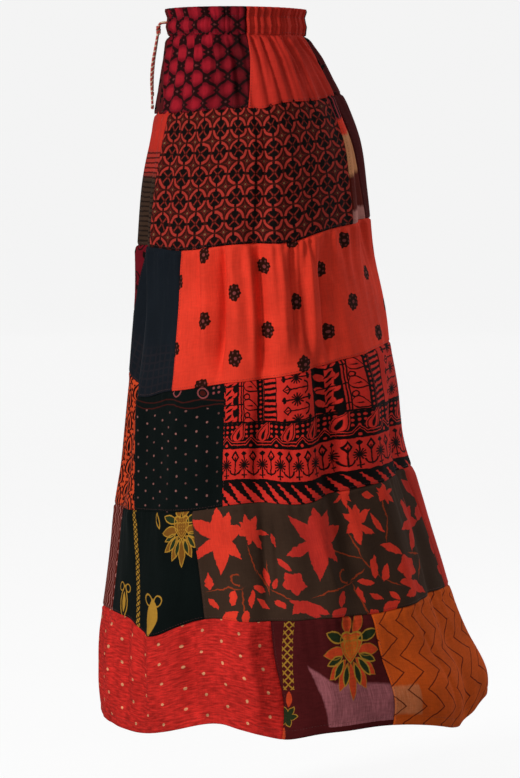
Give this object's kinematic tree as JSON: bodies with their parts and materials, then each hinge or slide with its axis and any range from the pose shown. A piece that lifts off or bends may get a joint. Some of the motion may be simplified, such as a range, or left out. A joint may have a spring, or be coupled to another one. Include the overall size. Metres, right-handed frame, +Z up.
{
  "type": "maxi skirt",
  "caption": "Long tiered skirt sewn from printed cloth patches, gathered on an elastic waistband with a drawstring, in its worn shape and open at waist and hem.",
  "frame": {"origin": "middle of the waist opening, halfway up the elastic waistband", "axes": "+Z up along the wearer, -Y towards the wearer's front, +X towards the wearer's left side"},
  "size_m": [0.5499, 0.4862, 0.8775],
  "materials": {
    "net_crimson": "matte, crimson cotton with a black net print",
    "plain_scarlet": "matte, plain orange-red voile",
    "shadow_maroon": "matte, maroon cotton with a black print",
    "ring_trellis": "matte, black cotton with a red ring trellis",
    "sunset_tan": "matte, cotton banded orange, tan and brown",
    "striped_brown": "matte, brown and red striped cotton",
    "scroll_pink": "matte, pink-red cotton with dark scrolls",
    "plain_navy": "matte, plain navy-black cotton",
    "sprig_scarlet": "matte, orange-red voile with dark sprigs",
    "paisley_orange": "matte, orange cotton with black paisleys",
    "pin_dot_black": "matte, black cotton with pin dots",
    "border_red": "matte, red cotton with black block-print borders",
    "zigzag_maroon": "matte, maroon-brown cotton with zigzags",
    "gilt_black": "matte, black cotton with gold leaves",
    "flower_brown": "matte, brown cotton with red flowers",
    "dot_red": "matte, red gauze with cream dots",
    "gilt_maroon": "matte, maroon voile with gold ornament",
    "zigzag_ochre": "matte, ochre cotton with brown zigzags",
    "drawstring": "matte twisted cotton cord"
  },
  "bodies": {
    "root": {"band_1_net_crimson": "net_crimson", "band_2_plain_scarlet": "plain_scarlet", "band_3_shadow_maroon": "shadow_maroon", "band_4_flower_brown": "flower_brown", "band_5_sprig_scarlet": "sprig_scarlet", "band_6_shadow_maroon": "shadow_maroon", "yoke_1_net_crimson": "net_crimson", "yoke_2_plain_scarlet": "plain_scarlet", "yoke_3_shadow_maroon": "shadow_maroon", "yoke_4_flower_brown": "flower_brown", "yoke_5_sprig_scarlet": "sprig_scarlet", "yoke_6_shadow_maroon": "shadow_maroon", "hip_1_ring_trellis": "ring_trellis", "hip_2_sunset_tan": "sunset_tan", "hip_3_gilt_maroon": "gilt_maroon", "hip_4_pin_dot_black": "pin_dot_black", "hip_5_zigzag_ochre": "zigzag_ochre", "hip_6_striped_brown": "striped_brown", "thigh_1_plain_navy": "plain_navy", "thigh_2_sprig_scarlet": "sprig_scarlet", "thigh_3_border_red": "border_red", "thigh_4_ring_trellis": "ring_trellis", "thigh_5_scroll_pink": "scroll_pink", "knee_1_pin_dot_black": "pin_dot_black", "knee_2_border_red": "border_red", "knee_3_plain_navy": "plain_navy", "knee_4_dot_red": "dot_red", "knee_5_paisley_orange": "paisley_orange", "shin_1_gilt_black": "gilt_black", "shin_2_flower_brown": "flower_brown", "shin_3_plain_scarlet": "plain_scarlet", "shin_4_scroll_pink": "scroll_pink", "shin_5_net_crimson": "net_crimson", "shin_6_zigzag_maroon": "zigzag_maroon", "hem_1_gilt_maroon": "gilt_maroon", "hem_2_zigzag_ochre": "zigzag_ochre", "hem_3_gilt_black": "gilt_black", "hem_4_paisley_orange": "paisley_orange", "hem_5_dot_red": "dot_red", "drawstring_left": "drawstring", "drawstring_right": "drawstring", "drawstring_knot": "drawstring", "drawstring_end_left": "drawstring", "drawstring_end_right": "drawstring"}
  },
  "joints": []
}
